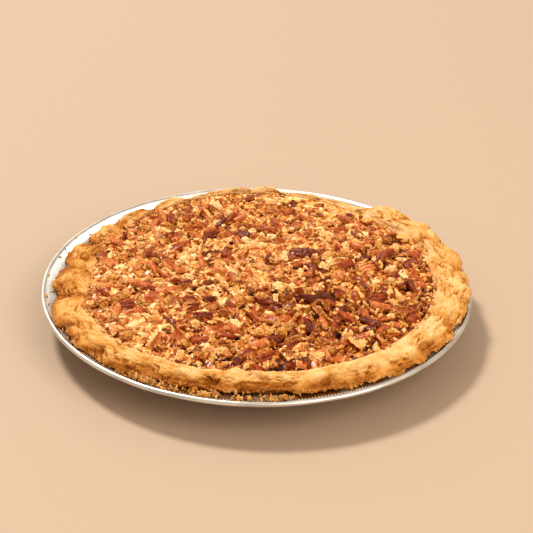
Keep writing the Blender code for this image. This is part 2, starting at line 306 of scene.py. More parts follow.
def foilMaterial():
    # aluminium foil, rolled bright and pressed: sharp grey gloss broken by fine creases
    material, tree, shader = newMaterial("pressedAluminiumFoil")
    place = addNode(tree, "TexCoord").outputs["Object"]
    creases = addNode(tree, "TexNoise", values={
        "Vector": place, "Scale": perMetre(3.0), "Detail": 4.0, "Roughness": 0.6})
    rolling = addNode(tree, "TexNoise", values={
        "Vector": place, "Scale": perMetre(14.0), "Detail": 2.0})
    tint = addNode(tree, "ValToRGB", values={"Fac": rolling.outputs["Fac"]}, stops=[
        (0.35, "D2D0CB"), (0.65, "EDEBE7")])
    gloss = addNode(tree, "MapRange", values={
        "Value": creases.outputs["Fac"], "To Min": 0.28, "To Max": 0.42})
    relief = addNode(tree, "Bump", values={
        "Height": creases.outputs["Fac"], "Strength": 0.25, "Distance": 0.3 * mm})
    # painted shade: this attribute browns and dulls the foil at the flange's front and in its
    # flute valleys
    greaseAndShade = addNode(tree, "Attribute", {"attribute_name": "greaseAndPaintedShade"}).outputs["Fac"]
    greasedAndShadedTint = addNode(tree, "Mix", {"data_type": "RGBA"}, {
        "Factor": greaseAndShade, 6: tint.outputs["Color"], 7: toLinear("6E4416")})
    bare = addNode(tree, "MapRange", values={"Value": greaseAndShade, "To Min": 1.0, "To Max": 0.05})
    mirror = addNode(tree, "MapRange", values={"Value": greaseAndShade, "To Min": 0.5, "To Max": 0.05})
    setInputs(tree, shader, {
        "Base Color": greasedAndShadedTint.outputs[2], "Metallic": bare.outputs["Result"],
        "Specular IOR Level": mirror.outputs["Result"], "Roughness": gloss.outputs["Result"],
        "Normal": relief.outputs["Normal"]})
    return material


def pastryMaterial():
    # shortcrust, baked: matt and flaky, straw to golden brown, glazed where syrup ran
    material, tree, shader = newMaterial("bakedShortcrust")
    place = addNode(tree, "TexCoord").outputs["Object"]
    # browning carries the baking and also painted shade and painted light
    bakeAndShade, syrup = [addNode(tree, "Attribute", {"attribute_name": key}).outputs["Fac"]
                    for key in ("browningAndShade", "syrup")]
    patches = addNode(tree, "TexNoise", values={
        "Vector": place, "Scale": perMetre(7.0), "Detail": 5.0, "Roughness": 0.62})
    grains = addNode(tree, "TexNoise", values={
        "Vector": place, "Scale": perMetre(0.9), "Detail": 3.0, "Roughness": 0.7})
    shade = mottled(tree, mottled(tree, bakeAndShade, patches, 0.09), grains, 0.15)
    crust = addNode(tree, "ValToRGB", values={"Fac": shade}, stops=[
        (0.0, "F8DAAA"), (0.28, "F2C78C"), (0.52, "E3AB5E"), (0.76, "C27C22"), (1.0, "884A0A")])
    glaze = addNode(tree, "Mix", {"data_type": "RGBA"}, {
        "Factor": syrup, 6: crust.outputs["Color"], 7: toLinear("BC7030")})
    shine = addNode(tree, "MapRange", values={"Value": syrup, "To Min": 0.62, "To Max": 0.3})
    relief = addNode(tree, "Bump", values={
        "Height": grains.outputs["Fac"], "Strength": 0.9, "Distance": 0.8 * mm})
    setInputs(tree, shader, {
        "Base Color": glaze.outputs[2], "Roughness": shine.outputs["Result"],
        "Normal": relief.outputs["Normal"], "IOR": 1.45, "Subsurface Weight": 0.08,
        "Subsurface Radius": (1.0, 0.5, 0.2), "Subsurface Scale": 1.2 * mm})
    return material


def custardMaterial():
    # set syrup custard: tan and glossy, with paler froth; burst bubbles, low spots and the rings
    # beside the pieces are darkened as painted shade
    material, tree, shader = newMaterial("setSyrupCustard")
    place = addNode(tree, "TexCoord").outputs["Object"]
    # the hollow attribute carries painted shade: low spots, bubble pits, rings beside pieces, and
    # the right and front
    depth = addNode(tree, "Attribute", {"attribute_name": "hollow"}).outputs["Fac"]
    froth = addNode(tree, "TexNoise", values={
        "Vector": place, "Scale": perMetre(2.0), "Detail": 4.0, "Roughness": 0.65})
    shade = mottled(tree, depth, froth, 0.25)
    color = addNode(tree, "ValToRGB", values={"Fac": shade}, stops=[
        (0.0, "FFE2A8"), (0.28, "F4BC70"), (0.46, "CB7A30"), (0.64, "7A340C"), (0.9, "2A0C03")])
    relief = addNode(tree, "Bump", values={
        "Height": froth.outputs["Fac"], "Strength": 0.4, "Distance": 0.3 * mm})
    setInputs(tree, shader, {
        "Base Color": color.outputs["Color"], "Normal": relief.outputs["Normal"],
        "Roughness": 0.25, "Specular IOR Level": 0.4, "IOR": 1.46})
    return material


def pecanMaterial(name, stops, roughness, grainSize, mottle, reliefStrength, coat):
    # pecan in two looks, skin or flesh, with a film of custard where the piece is low and painted
    # shade at its foot
    material, tree, shader = newMaterial(name)
    place = addNode(tree, "TexCoord").outputs["Object"]
    tone, film, paintedContactShade = [addNode(tree, "Attribute", {"attribute_name": key}).outputs["Fac"]
                          for key in ("tone", "film", "paintedContactShade")]
    grain = addNode(tree, "TexNoise", values={
        "Vector": place, "Scale": perMetre(grainSize), "Detail": 4.0, "Roughness": 0.6})
    shade = mottled(tree, tone, grain, mottle)
    color = addNode(tree, "ValToRGB", values={"Fac": shade}, stops=stops)
    filmShade = addNode(tree, "ValToRGB", values={"Fac": grain.outputs["Fac"]}, stops=[
        (0.35, "9E581C"), (0.5, "D29A5C"), (0.65, "F7D09C")])
    coated = addNode(tree, "Mix", {"data_type": "RGBA"}, {
        "Factor": film, 6: color.outputs["Color"], 7: filmShade.outputs["Color"]})
    # painted shade darkens each piece's foot where it meets the custard
    contactShaded = addNode(tree, "Mix", {"data_type": "RGBA"}, {
        "Factor": paintedContactShade, 6: coated.outputs[2], 7: toLinear("4C1C08")})
    relief = addNode(tree, "Bump", values={
        "Height": grain.outputs["Fac"], "Strength": reliefStrength, "Distance": 0.6 * mm})
    setInputs(tree, shader, {
        "Base Color": contactShaded.outputs[2], "Normal": relief.outputs["Normal"],
        "Roughness": roughness, "IOR": 1.47, "Specular IOR Level": 0.28,
        "Coat Weight": coat, "Coat Roughness": 0.1})
    return material


foil = foilMaterial()
pastry = pastryMaterial()
custard = custardMaterial()
# Pecan skin: thin, red-brown and waxy, with a coat of syrup that catches the window
pecanSkin = pecanMaterial("toastedPecanSkin", [
    (0.0, "5C2008"), (0.3, "9A4416"), (0.6, "C67036"), (1.0, "EEB478")],
    roughness=0.4, grainSize=1.8, mottle=0.24, reliefStrength=0.7, coat=0.12)
# Pecan flesh: oily, pale gold where it broke, deeper where it toasted
pecanFlesh = pecanMaterial("brokenPecanFlesh", [
    (0.0, "964C12"), (0.3, "DA9C48"), (0.6, "F2C47E"), (1.0, "FBDCA6")],
    roughness=0.4, grainSize=1.1, mottle=0.38, reliefStrength=1.0, coat=0.25)
print("materials")


# Foil tin

tin = {
    "flutes": 420,         # 1.8 mm apart on the rim: real ones, 1.3 mm, would blur away
    "stepsPerFlute": 4,
    "foil": 0.3,           # real foil is 0.1 mm, this holds its two faces apart
    "fluteDepth": 0.4,
    "dents": 0.22,
    "ribs": (24.0, 50.0),  # radius of the rings pressed into the base
    "ribRise": 0.6,        # how deep they are pressed
}


def tinProfile():
    # the inner face from the middle out, the rolled edge, and the outer face back in
    sheet = tin["foil"]
    panel = tinFoot - 10.0
    panelTop = 1.6
    flange = rimHeight - 0.3
    beadMiddle = tinRadius - beadRadius
    inner = [(0.0, panelTop)]
    outer = [(0.0, panelTop - sheet)]
    for radius in tin["ribs"]:
        for across, rise in ((-2.0, 0.0), (0.0, -tin["ribRise"]), (2.0, 0.0)):
            inner.append((radius + across, panelTop + rise))
            outer.append((radius + across, panelTop + rise - sheet))
    inner += [(panel, panelTop), (panel + 2.0, sheet), (tinFoot - 1.0, sheet),
              (tinFoot + 0.4, sheet + 0.7)]
    outer += [(panel - 0.2, panelTop - sheet), (panel + 1.8, 0.0), (tinFoot - 0.7, 0.0),
              (tinFoot + 0.8, sheet + 0.3)]
    for up in (1 / 3, 2 / 3, 1.0):
        inner.append((tinFoot + 0.4 + (wallTop - 0.7 - tinFoot) * up,
                      sheet + 0.7 + (flange - sheet - 0.7) * up))
        outer.append((tinFoot + 0.8 + (wallTop - 0.6 - tinFoot) * up,
                      sheet + 0.3 + (flange - sheet - 0.6) * up))
    for k in (1, 2, 3.5, 4):
        across = (tinRadius - 3.1 - wallTop) * k / 4
        inner.append((wallTop + across, flange + 0.6 + 0.1 * k))
        outer.append((wallTop + across + 0.15, flange + 0.6 + 0.1 * k - sheet))
    bead = []
    for angle in (150, 115, 80, 45, 10, -30, -75, -120, -165):
        turn = math.radians(angle)
        bead.append((beadMiddle + beadRadius * math.cos(turn),
                     rimHeight + beadRadius * math.sin(turn)))
    return np.array(inner + bead + outer[::-1])


def makeTin():
    profile = tinProfile()
    steps = tin["flutes"] * tin["stepsPerFlute"]
    turn = np.arange(steps) / steps * 2 * math.pi
    radius = profile[:, :1] * np.ones(steps)
    height = profile[:, 1:] * np.ones(steps)
    wave = np.cos(turn * tin["flutes"])
    fluted = smoothstep(tinFoot + 6.0, wallTop, radius)
    fluted *= 1.0 - 0.97 * smoothstep(tinRadius - 4.0, tinRadius - 3.2, radius)
    height += tin["fluteDepth"] * wave * fluted
    onWall = fluted * (1.0 - smoothstep(rimHeight - 1.0, rimHeight, height))
    radius -= tin["fluteDepth"] * wave * onWall
    # soft dents and a slightly uneven rolled edge, from handling
    around = roundAxis(6.0, turn, turn * 0)
    dents = fractalAt(around, 1.0, 4, 3.1)
    height += tin["dents"] * dents * smoothstep(tinFoot + 4.0, tinRadius, radius)
    radius -= 0.12 * np.abs(fractalAt(around, 0.7, 3, 9.2)) * fluted
    # a brown film painted on the flange, most at the front, as painted shade and a painted
    # reflection of the pastry above it, and painted shade in the flute valleys with a faint tint
    # over the whole flange
    front = smoothstep(-0.2, 0.7, -np.sin(turn)) * (1.0 + 0.5 * dents)
    upper = np.arange(len(profile)) < len(profile) // 2
    greaseAndPaintedShade = front * (1.0 - smoothstep(tinRadius - 3.7, tinRadius - 2.9, radius))
    onFlange = smoothstep(tinFoot + 6.0, wallTop, radius)
    onFlange *= 1.0 - smoothstep(tinRadius - 3.6, tinRadius - 2.8, radius)
    # painted shade in every flute's valley
    fluteShade = 0.04 + 0.3 * (0.5 - 0.5 * wave)
    greaseAndPaintedShade = np.clip(0.95 * greaseAndPaintedShade, fluteShade, 1.0) * upper[:, None] * onFlange
    mesh = turnedMesh("foilTin", roundAxis(radius, turn, height), {"greaseAndPaintedShade": greaseAndPaintedShade})
    addPiece(mesh, [foil], "tin")


makeTin()
print("foil tin")


# Pastry case

case = {
    "radius": 117.6,    # outermost line of the plain profile, before the rim is shaped
    "crest": 29.4,      # its top above the table
    "lip": 24.7,        # its outer edge above the table
    "floor": 1.9,       # its underside above the table
    "thickness": 4.0,   # of its floor
    "crimps": 23,
    "firstCrimp": 6.8,  # degrees round to the first pinch
    "bunching": 3.0,    # degrees, how far the pinches bunch up on one side
    "bunchingAt": 130.0,
    "lean": -0.28,      # degrees a millimetre, how far the creases run aslant
    "crestSwell": 1.7,  # how much lower a crease is than the swelling beside it
    "stepsPerCrimp": 44,
    "lumps": 0.8,       # slow unevenness of the dough
    "folds": 1.5,       # height of the rounded lumps between creases
    "flakes": 0.55,     # height of one flaky layer
    "layers": 2.2,      # how closely the layers follow one another
    "cracks": 1.5,      # their depth
    "crumb": 0.3,       # height of the fine grain
    "raggedEdge": 1.3,
    "dimples": 90,      # finger marks and burst blisters
}

# How the hand-made rim changes on its way round, read off the photograph:
# angle in degrees, then in mm the outer reach, crest height, filling's edge, lip height,
# depth of the outer creases, height of the inner ridges, depth of the finger hollows
rimShapes = (
    (0, 120.8, 28.8, 99.8, 24.4, 3.2, 0.3, 0.6),
    (20, 121.6, 29.8, 101.0, 24.6, 4.0, 0.2, 0.0),
    (34, 121.4, 31.0, 100.5, 24.8, 4.4, 0.4, 0.0),
    (47, 118.5, 31.0, 100.5, 24.8, 4.6, 0.8, 0.0),
    (59, 109.8, 27.0, 102.0, 24.0, 3.2, 1.0, 0.0),
    (72, 109.8, 27.8, 104.0, 24.0, 2.6, 0.5, 0.0),
    (80, 109.0, 27.2, 104.8, 24.0, 2.0, 0.4, 0.0),
    (86, 110.6, 29.6, 105.2, 24.8, 1.2, 0.2, 0.0),
    (92, 109.4, 28.4, 105.0, 24.4, 1.2, 0.2, 0.0),
    (97, 110.2, 29.2, 104.8, 24.4, 1.6, 0.3, 0.0),
    (107, 108.8, 27.6, 104.4, 24.0, 2.2, 0.4, 0.0),
    (116, 109.4, 28.2, 102.5, 24.0, 3.0, 0.8, 0.0),
    (130, 109.0, 27.4, 100.5, 23.8, 3.2, 1.4, 0.0),
    (150, 109.8, 27.4, 95.8, 24.0, 3.8, 2.6, 0.0),
    (170, 112.6, 27.4, 93.4, 23.8, 3.8, 3.0, 0.0),
    (186, 115.2, 27.4, 94.4, 23.4, 3.2, 2.8, 0.0),
    (203, 119.0, 27.8, 100.0, 23.2, 2.6, 2.0, 0.6),
    (225, 118.8, 28.4, 101.5, 23.2, 1.5, 0.8, 1.8),
    (248, 115.5, 29.2, 98.8, 23.2, 0.9, 0.0, 2.4),
    (268, 112.6, 29.6, 98.0, 23.2, 0.7, 0.0, 2.4),
    (290, 116.0, 29.4, 98.0, 23.2, 0.9, 0.0, 2.6),
    (312, 118.8, 28.6, 99.0, 23.2, 1.1, 0.0, 2.4),
    (336, 119.2, 28.4, 100.0, 23.2, 1.6, 0.2, 2.0),
)


def rimAt(angle):
    # the seven sizes of rimShapes at any angle, in radians, eased from row to row
    rows = np.array(rimShapes + ((360.0,) + rimShapes[0][1:],))
    degrees = np.degrees(angle) % 360.0
    row = np.clip(np.searchsorted(rows[:, 0], degrees, side="right") - 1, 0, len(rows) - 2)
    share = (degrees - rows[row, 0]) / (rows[row + 1, 0] - rows[row, 0])
    share = share * share * (3.0 - 2.0 * share)
    return [rows[row, k] + (rows[row + 1, k] - rows[row, k]) * share for k in range(1, 8)]


def climbAt(edge):
    return 0.18 * np.maximum(edge - fillingRadius, 0.0)   # a wide filling rides up the rim


def caseProfile():
    # (radius, height) from the middle of the pastry floor, over the rim and back underneath
    radius, crest, lip, floor = case["radius"], case["crest"], case["lip"], case["floor"]
    floorTop = floor + case["thickness"]
    outside = wallTop - 0.9
    return [
        (0.0, floorTop),
        (fillingRadius - 13.5, floorTop),
        (fillingRadius - 10.5, floorTop + 1.1),
        (fillingRadius + 1.2, fillingEdge - 4.7),
        (fillingRadius, fillingEdge),
        (fillingRadius + 2.6, fillingEdge + 1.6),
        (fillingRadius + 6.3, crest - 1.1),
        (fillingRadius + 10.6, crest),
        (radius - 5.4, crest - 0.7),
        (radius - 1.8, crest - 2.6),
        (radius, lip),
        (radius - 1.0, lip - 1.4),
        (radius - 4.0, lip - 2.5),
        (outside + 1.4, rimHeight + 0.75),
        (outside, rimHeight - 0.2),
        (tinFoot + 0.2, floor + 0.4),
        (tinFoot - 2.0, floor),
        (0.0, floor),
    ]


def crimpTable():
    # strength and small turn of every pinch
    rng = random.Random(17)
    table = [(rng.uniform(0.85, 1.2), math.radians(rng.uniform(-0.8, 0.8)))
             for _ in range(case["crimps"])]
    return np.array(table + table[:1])


def shapeRim(radius, height, turn):
    # gives the turned case its hand-made rim: its reach, crest, creases and hollows
    table = crimpTable()
    position = turn / (2 * math.pi) * case["crimps"]
    phase = position - np.floor(position)
    marks = np.arange(case["crimps"] + 1)
    strength = np.interp(position, marks, table[:, 0])
    drift = np.interp(position, marks, table[:, 1])
    rim = smoothstep(rimHeight - 0.2, rimHeight + 2.8, height)
    share = np.clip((radius - fillingRadius) / (case["radius"] - fillingRadius), 0.0, 1.0)
    across = radius - (fillingRadius + 10.6)
    first, bunching, bunchingAt, lean = [
        math.radians(case[key]) for key in ("firstCrimp", "bunching", "bunchingAt", "lean")]
    angle = turn + first + drift - bunching * np.cos(turn - bunchingAt) + rim * lean * across
    reach, crest, edge, lip, crease, ridge, hollow = rimAt(angle)

    above = smoothstep(case["lip"] - 0.7, case["lip"] + 1.3, height)   # not the underside
    lifted = smoothstep(0.0, 0.35, share) * (1.0 - smoothstep(0.75, 1.0, share)) * above
    outer = smoothstep(0.35, 0.75, share)
    inner = smoothstep(0.0, 0.35, share) * (1.0 - outer)
    slope = smoothstep(0.0, 0.15, share) * (1.0 - smoothstep(0.3, 0.6, share))
    pressed = (1.0 - np.abs(np.sin(math.pi * phase)) ** 0.7) * strength

    newRadius = (edge + share * (reach - edge)
                 - pressed * (crease * outer + (0.5 * crease + 0.7 * ridge) * inner))
    newHeight = (height + (crest - case["crest"]) * lifted
                 + (lip - case["lip"]) * smoothstep(0.7, 1.0, share)
                 + climbAt(edge) * (1.0 - smoothstep(0.0, 0.5, share))
                 - pressed * case["crestSwell"] * lifted * (0.3 + 0.7 * outer)
                 + ridge * slope * (pressed - 0.5) + 0.4 * np.sin(5.0 * angle) * lifted)

    # finger hollows in the outer face, at the creases
    away = np.minimum(phase, 1.0 - phase) * 360.0 / case["crimps"]
    face = np.exp(-(away / 2.6) ** 2) * np.exp(-((share - 0.84) / 0.13) ** 2)
    face = face * above * strength
    newRadius = np.maximum(newRadius - 0.8 * hollow * face, edge)
    newHeight = newHeight - 0.5 * hollow * face
    return (radius + rim * (newRadius - radius), height + rim * (newHeight - height),
            angle, rim, pressed, share)


def pressDimples(grid, normal, visible):
    # finger marks and small burst blisters on the rim, and how deep each spot is
    rng = random.Random(29)
    depthHere = np.zeros(grid.shape[:2])
    for number in range(case["dimples"]):
        turn = anyAngle(rng)
        radius = rng.uniform(fillingRadius + 5, case["radius"] + 1)
        size = rng.uniform(0.5, 1.0) if number % 2 else rng.uniform(1.4, 3.2)
        depth = rng.uniform(0.9, 1.3) if number % 2 else rng.uniform(0.2, 0.4) * size
        middle = np.array([radius * math.cos(turn), radius * math.sin(turn)])
        distance = np.linalg.norm(grid[:, :, :2] - middle, axis=2)
        dent = depth * np.exp(-(distance / size) ** 2) * visible
        grid = grid - normal * dent[:, :, None]
        depthHere += dent * (number % 2)
    return grid, depthHere


def makeCase():
    def spacing(radius, height):
        # fine where the rim is seen, coarse out of sight
        return 0.66 if radius > fillingRadius - 1.0 and height > rimHeight + 0.5 else 7.0

    profile = sampleProfile(caseProfile(), spacing)
    steps = case["crimps"] * case["stepsPerCrimp"]
    turn = np.ones((len(profile), 1)) * (np.arange(steps) / steps * 2 * math.pi)
    radius = profile[:, :1] * np.ones(steps)
    height = profile[:, 1:] * np.ones(steps)
    plainHeight = height
    radius, height, angle, rim, pressed, share = shapeRim(radius, height, turn)
    grid = roundAxis(radius, angle, height)
    normal = gridNormals(grid)
    visible = rim * smoothstep(0.0, 0.06, share)
    lumps = fractalAt(grid, 11.0, 3, 1.3)
    crumb = fractalAt(grid, 1.2, 2, 4.1)
    folds = np.abs(fractalAt(grid, 13.0, 2, 3.3))
    # flaky layers run along the rim, so their noise is drawn out that way, then cut in steps
    walked = np.cumsum(np.linalg.norm(np.diff(profile, axis=0, prepend=profile[:1]), axis=1))
    drawn = 30.0
    leaves = roundAxis(drawn, angle, walked[:, None] + 2.0 * lumps)
    flakes = fractalAt(leaves, 3.4, 3, 7.7)
    veins = fractalAt(leaves, 4.6, 3, 2.2)
    layer = case["layers"] * flakes
    within = layer - np.floor(layer)
    stepped = np.floor(layer) + smoothstep(0.6, 0.85, within)
    # some stretches broke up flaky, others stayed smooth where fingers pressed them
    rough = smoothstep(-0.5, 0.25, fractalAt(grid, 16.0, 2, 5.5))
    split = np.exp(-(veins / 0.08) ** 2) * rough
    lip = np.exp(-((plainHeight - case["lip"] + 0.7) / 1.2) ** 2) * (share > 0.8)
    relief = (case["lumps"] * lumps + case["flakes"] * (0.3 + 0.7 * rough) * stepped
              + case["folds"] * (folds - 0.2) + case["crumb"] * (0.3 + 0.7 * rough) * crumb
              - case["cracks"] * split + case["raggedEdge"] * lip * (crumb + 0.8 * flakes))
    grid = grid + normal * (relief * visible)[:, :, None]
    grid, pits = pressDimples(grid, normal, visible)
    # nothing reaches past the tin's rolled edge
    beyond = np.hypot(grid[:, :, 0], grid[:, :, 1]) / (tinRadius - 0.2)
    grid[:, :, :2] /= np.maximum(beyond, 1.0)[:, :, None]
    grid[:, :, 2] = np.minimum(grid[:, :, 2], pieTop - 0.2 + 0.05 * crumb)

    # the outer face bakes brownest; painted shade darkens the front's outer face, the creases,
    # the hollows between folds, the cracks, the pits and the lip's underside, and painted light
    # makes the back, the swellings, the flake edges and the ragged edge paler
    front = smoothstep(0.2, 0.9, -np.sin(angle))
    outside = smoothstep(0.72, 0.95, share) * rim
    crackShade = smoothstep(0.35, 0.6, within) * (1.0 - smoothstep(0.62, 0.75, within))
    edgeLight = smoothstep(0.8, 0.95, within)
    left = smoothstep(0.1, 0.9, -np.cos(angle))
    left = left * (1.0 - 0.7 * smoothstep(0.1, 0.7, -np.sin(angle)))
    inside = (1.0 - smoothstep(0.15, 0.4, share)) * rim
    back = smoothstep(0.5, 0.95, np.sin(angle))
    under = 1.0 - smoothstep(case["lip"] - 2.6, case["lip"] - 0.9, plainHeight)
    # baking mixed with painted shade and painted light, as listed above
    browningAndShade = (0.39 + 0.08 * lumps + 0.05 * flakes + 0.2 * pressed * rim - 0.14 * back
                + 0.3 * (0.2 - folds) + 0.06 * np.exp(-(folds / 0.06) ** 2)
                + (0.05 + 0.1 * rough) * crackShade - 0.06 * edgeLight + 0.36 * split
                + (0.18 + 0.2 * front) * outside - 0.3 * lip * (0.6 + crumb)
                + (0.17 + 0.1 * lumps) * left * rim - (0.12 + 0.04 * left) * inside
                + 0.35 * under * smoothstep(0.5, 0.7, share)
                + 0.6 * np.clip(pits - 0.2, 0.0, 0.6))
    # syrup that bubbled over the pastry's inner side, widest at the right
    stain = 0.6 + 2.0 * np.maximum(np.cos(angle - 0.4), 0.0) ** 2 + 2.6 * lumps + flakes
    spread = (np.hypot(grid[:, :, 0], grid[:, :, 1]) - rimAt(angle)[2] - stain) / 3.0
    syrup = (0.36 - 0.15 * back) * (1.0 - smoothstep(-0.6, 1.0, spread)) * (0.8 + 0.3 * crumb)
    mesh = turnedMesh("pastryCase", grid, {
        "browningAndShade": np.clip(browningAndShade, 0.16, 0.88), "syrup": syrup * rim})
    addPiece(mesh, [pastry], "crust")


makeCase()
print("pastry case")


# Custard

filling = {
    "cells": 200,        # grid cells across, about 1 mm each
    "lumps": 0.9,        # height of its broad unevenness
    "froth": 0.3,        # and of its fine one
    "creep": 1.6,        # how far it creeps up the nuts
    "bubbles": 720,      # burst bubbles, 1 to 3 mm across
}


def paintedSideShadeAt(x, y):
    # painted shade from the light at the back left: the filling is darker towards the right and
    # the front, paler at the middle and far left
    return smoothstep(-20.0, 90.0, x - 0.8 * y)


def custardLevel(x, y):
    # height of the custard before lumps and bubbles
    edge = rimAt(np.arctan2(y, x))[2]
    share = (x * x + y * y) / edge ** 2
    return fillingEdge - 0.1 + fillingDome * (1.0 - share) + climbAt(edge) * share ** 3


# Pecans

nuts = {
    "kernelLength": 27.0,
    "kernelWidth": 14.0,
    "kernelHeight": 8.5,
    # each groove's middle in degrees, depth in mm, half width in degrees; the furrow last
    "grooves": ((90, 2.4, 12), (38, 1.5, 9), (142, 1.5, 9), (270, 2.4, 22)),
    "sliverShapes": 26,
    "slivers": 430,        # skinned strips, 4 to 13 mm long
    "lumps": 560,          # broken flesh, 4 to 9 mm across
    "bits": 960,           # 2 to 4 mm across
    "seamBits": 300,       # more of them where the filling meets the pastry
    "roundness": 1,        # smoothing passes that wear the broken edges
    "knobs": 0.8,          # mm of lumpiness on a broken face
    "crispness": 16.0,     # how sharply a lump's broken faces meet
}

# Broken halves that lie on top: x, y and length in mm, heading in degrees
largeKernels = (
    (74, 24, 19, 62), (52, 70, 17, -58), (27, -26, 16, -3), (6, -34, 18, -27),
    (6, -85, 15, 42), (62, -48, 16, -44), (47, -38, 12, 75), (-28, 44, 15, 58),
    (-16, 68, 14, 72), (27, 24, 19, -16), (-44, 33, 14, 34), (-42, -16, 15, 48),
    (-11, -12, 13, 8), (-59, 5, 15, -68), (-38, 55, 12, 15), (6, 53, 17, -31),
    (18, -73, 12, 20), (29, -55, 13, -75), (66, -24, 14, 28), (-46, -53, 14, -40),
    (-30, -46, 15, -8), (0, -47, 13, -68), (88, -22, 14, 82), (-72, -36, 13, 12),
)


def halfKernel(along, around, seed):
    # half a pecan along X: domed back with three grooves, furrowed flat side below
    work = bmesh.new()
    rings = []
    for i in range(1, along):
        u = 2.0 * i / along - 1.0
        taper = (1.0 - abs(u) ** 2.3) ** 0.55
        ring = []
        for j in range(around):
            v = 2.0 * math.pi * j / around
            side, up = math.cos(v), math.sin(v)
            groove = 0.0
            for middle, depth, width in nuts["grooves"]:
                away = (math.degrees(v) - middle + 180.0) % 360.0 - 180.0
                groove += depth * math.exp(-(away / width) ** 2)
            reach = nuts["kernelHeight"] * (0.62 if up > 0 else 0.38)
            y = side * (nuts["kernelWidth"] / 2 * taper - groove * abs(side))
            z = up * (reach * taper ** 0.8 - groove)
            x = u * nuts["kernelLength"] / 2
            place = Vector((x * 0.4, y * 0.5, z * 0.5 + seed))
            wrinkle = 1.0 + 0.2 * noise.fractal(place, 1.0, 2.0, 3)
            ring.append(work.verts.new((x, y * wrinkle, z * wrinkle)))
        rings.append(ring)
    tips = [work.verts.new((s * nuts["kernelLength"] / 2, 0, 0)) for s in (-1, 1)]
    for j in range(around):
        k = (j + 1) % around
        for near, far in zip(rings, rings[1:]):
            work.faces.new((near[j], far[j], far[k], near[k]))
        work.faces.new((tips[0], rings[0][j], rings[0][k]))
        work.faces.new((tips[1], rings[-1][k], rings[-1][j]))
    bmesh.ops.recalc_face_normals(work, faces=work.faces)
    return work


def cutAway(work, point, direction, cellSize):
    # breaks the kernel at a plane; the broken face becomes flesh and is made finer
    geometry = work.verts[:] + work.edges[:] + work.faces[:]
    bmesh.ops.bisect_plane(work, geom=geometry, dist=0.001, plane_co=point,
                           plane_no=direction, clear_outer=True)
    rim = [edge for edge in work.edges if len(edge.link_faces) == 1]
    if not rim:
        return
    made = bmesh.ops.triangle_fill(work, use_beauty=True, edges=rim)
    for face in made["geom"]:
        if isinstance(face, bmesh.types.BMFace):
            face.material_index = 1
    for _ in range(3):
        longEdges = [e for e in work.edges if e.calc_length() > cellSize
                     and all(f.material_index == 1 for f in e.link_faces)]
        if longEdges:
            bmesh.ops.subdivide_edges(work, edges=longEdges, cuts=1)
            flesh = [f for f in work.faces if len(f.verts) > 3 and f.material_index == 1]
            bmesh.ops.triangulate(work, faces=flesh)


def toArrays(work):
    # a mesh's points, and the points of each face
    work.verts.index_update()
    points = np.array([v.co for v in work.verts])
    return points, np.array([[v.index for v in f.verts] for f in work.faces])


def chopKernel(rng, along, around, lengths, splitChance, cellSize):
    # one chopped piece as arrays: points, triangles, which are flesh, painted shade of grooves
    seed = rng.uniform(0, 90)
    work = halfKernel(along, around, seed)
    length = rng.uniform(*lengths)
    start = rng.uniform(-0.5, 0.5) * (nuts["kernelLength"] - length) * 0.8
    for side in (-1, 1):
        tilt = Vector((side, rng.uniform(-0.5, 0.5), rng.uniform(-0.5, 0.5))).normalized()
        cutAway(work, Vector((start + side * length / 2, 0, 0)), tilt, cellSize)
    if rng.random() < splitChance:
        side = rng.choice((-1, 1))
        tilt = Vector((rng.uniform(-0.25, 0.25), side, rng.uniform(-0.4, 0.4))).normalized()
        cutAway(work, Vector((start, rng.uniform(-0.5, 2.5) * side, 0)), tilt, cellSize)
    bmesh.ops.triangulate(work, faces=work.faces)
    for _ in range(nuts["roundness"]):
        bmesh.ops.smooth_vert(work, verts=work.verts, factor=0.5, use_axis_x=True,
                              use_axis_y=True, use_axis_z=True)
    work.normal_update()
    moves = []
    for vertex in work.verts:
        faces = vertex.link_faces
        broken = sum(f.material_index for f in faces) / max(len(faces), 1)
        knob = noise.fractal(vertex.co * 0.42 + Vector((seed, 3, 1)), 1.0, 2.0, 3)
        moves.append(vertex.normal * knob * (0.3 + nuts["knobs"] * broken))
    for vertex, move in zip(work.verts, moves):
        vertex.co += move
    points, triangles = toArrays(work)
    flesh = np.array([f.material_index for f in work.faces])
    work.free()
    # painted shade darkens the three grooves of the back
    lie = np.degrees(np.arctan2(points[:, 2] / nuts["kernelHeight"],
                                points[:, 1] / nuts["kernelWidth"]))
    grooves = sum(np.exp(-((lie - middle) / 9.0) ** 2) for middle, _, _ in nuts["grooves"][:3])
    points -= (points.max(axis=0) + points.min(axis=0)) / 2
    return points, triangles, flesh, 0.28 * grooves


def brokenLump(rng, ball, skinned):
    # a chopped lump: a ball broken off at a few planes, knobbly where the flesh shows
    directions, triangles = ball
    normals = np.array([[rng.gauss(0, 1) for _ in range(3)] for _ in range(rng.randint(8, 12))])
    normals /= np.linalg.norm(normals, axis=1, keepdims=True)
    offsets = np.array([rng.uniform(0.5, 0.95) for _ in normals])
    facing = np.maximum(directions @ normals.T, 0.0) / offsets
    reach = (1.0 + (facing ** nuts["crispness"]).sum(axis=1)) ** (-1.0 / nuts["crispness"])
    stretch = np.array([rng.uniform(1.0, 1.5), rng.uniform(0.75, 1.0), rng.uniform(0.6, 0.85)])
    seed = rng.uniform(0, 90)
    knobs = fractalAt(directions, 0.45, 3, seed)
    folds = np.abs(fractalAt(directions, 0.8, 2, seed + 7.0))
    points = directions * (reach * (1.0 + 0.3 * knobs - 0.25 * (folds < 0.1)))[:, None] * stretch
    middle = directions[triangles].mean(axis=1)
    skin = np.zeros(len(triangles), dtype=bool)
    for side in range(skinned):
        skin |= (middle @ normals[side]) / offsets[side] > 0.8
    return points, triangles, np.where(skin, 0, 1), np.zeros(len(points))


